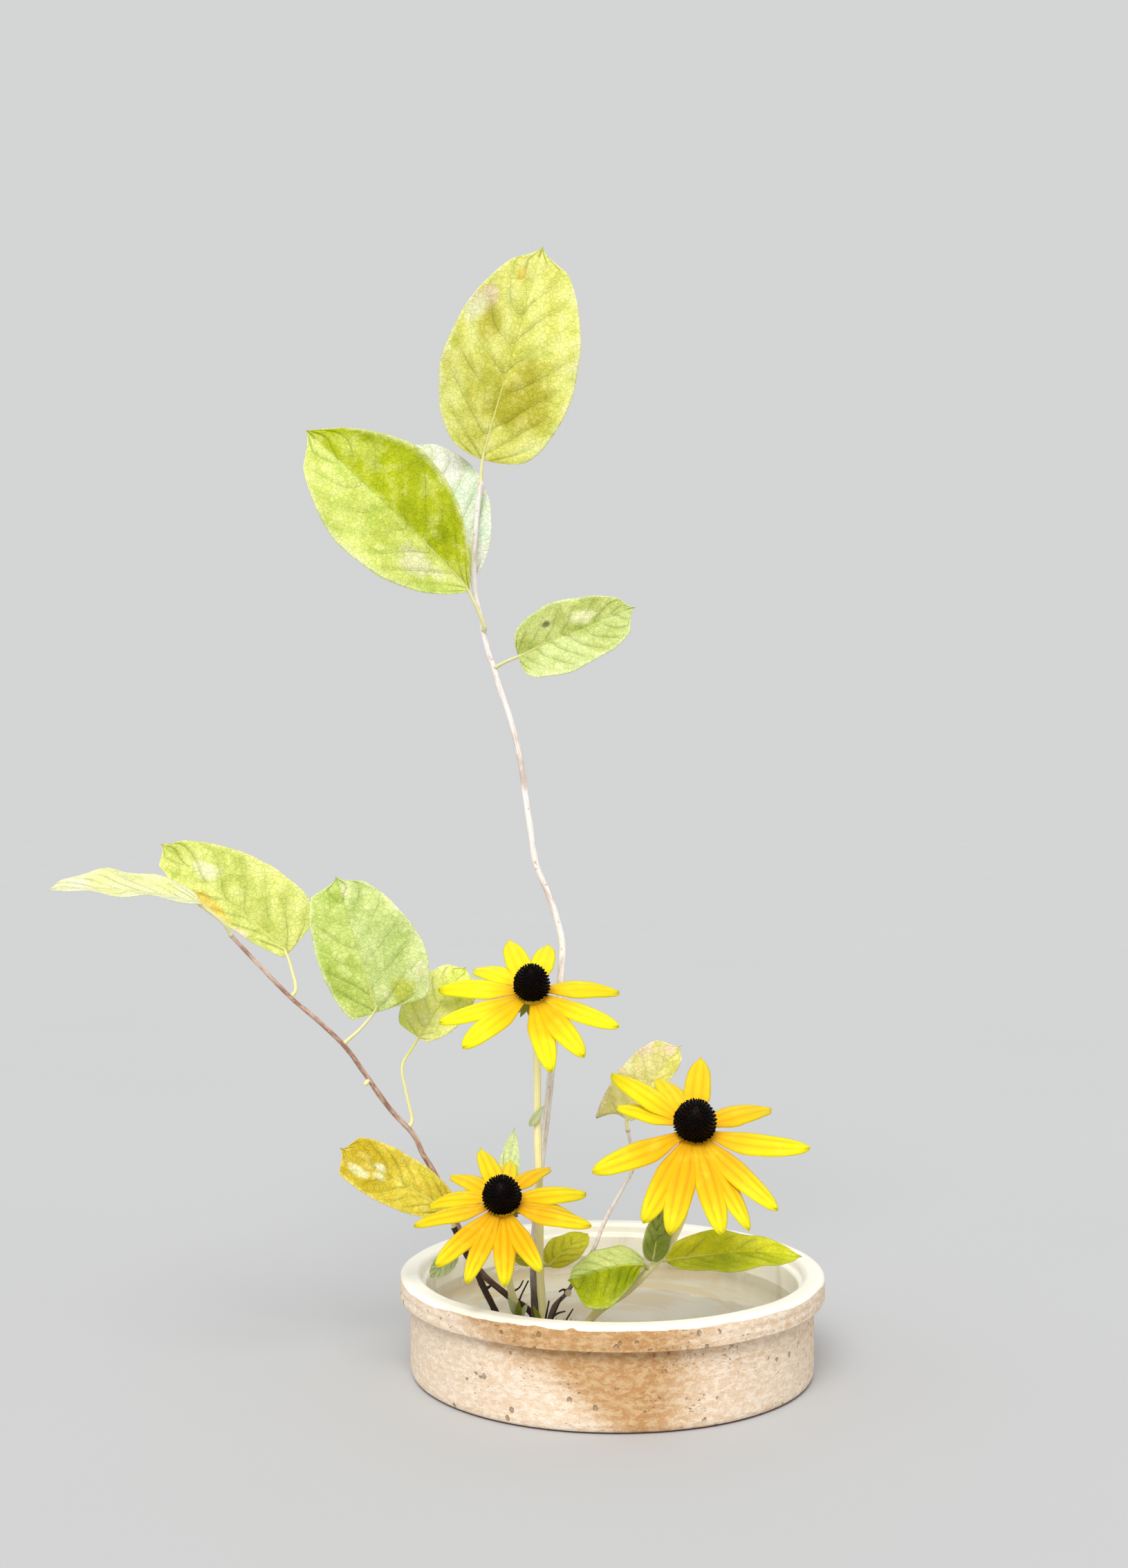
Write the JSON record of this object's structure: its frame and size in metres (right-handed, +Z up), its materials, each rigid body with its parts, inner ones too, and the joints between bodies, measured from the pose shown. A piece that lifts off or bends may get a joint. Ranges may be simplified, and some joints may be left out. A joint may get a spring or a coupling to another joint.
{
  "type": "ikebana arrangement",
  "caption": "Low round stoneware bowl of water with an ikebana arrangement: tall and trailing leafy branches and yellow dark-centred coneflowers standing in a hidden pin holder.",
  "frame": {"origin": "middle of the bowl's flat base, on the surface that it stands on", "axes": "+Z up, along the tall branch; -Y towards the front of the arrangement, which the flower heads face; +X to its right as seen from the front"},
  "size_m": [0.322, 0.2011, 0.501],
  "materials": {
    "stoneware": "speckled unglazed wall with a glossy cream rim",
    "water": "clear and still",
    "lead_and_brass": "dull metal",
    "pale_bark": "smooth pale bark",
    "brown_bark": "smooth brown bark",
    "green_stem": "matt, faintly hairy",
    "yellow_petal": "satin",
    "brown_disc": "matt",
    "lime_leaf": "satin",
    "pale_leaf": "satin",
    "green_leaf": "satin"
  },
  "bodies": {
    "root": {"bowl": "stoneware", "water": "water", "pin_holder": "lead_and_brass", "tall_branch": "pale_bark", "right_twig": "pale_bark", "left_branch": "brown_bark", "short_branch": "brown_bark", "top_flower_stem": "green_stem", "top_flower_petals": "yellow_petal", "top_flower_disc": "brown_disc", "right_flower_stem": "green_stem", "right_flower_petals": "yellow_petal", "right_flower_disc": "brown_disc", "lower_flower_stem": "green_stem", "lower_flower_petals": "yellow_petal", "lower_flower_disc": "brown_disc", "tall_branch_top_leaf": "lime_leaf", "tall_branch_front_leaf": "lime_leaf", "left_branch_second_leaf": "lime_leaf", "left_branch_third_leaf": "lime_leaf", "left_branch_fourth_leaf": "lime_leaf", "short_branch_leaf": "lime_leaf", "tall_branch_back_leaf": "pale_leaf", "tall_branch_side_leaf": "pale_leaf", "left_branch_tip_leaf": "pale_leaf", "right_twig_leaf": "pale_leaf", "lower_flower_leaf": "pale_leaf", "short_branch_small_leaf": "green_leaf", "top_flower_leaf": "green_leaf", "top_flower_small_leaf": "green_leaf", "right_flower_front_leaf": "green_leaf", "right_flower_upright_leaf": "green_leaf", "right_flower_side_leaf": "green_leaf"}
  },
  "joints": []
}
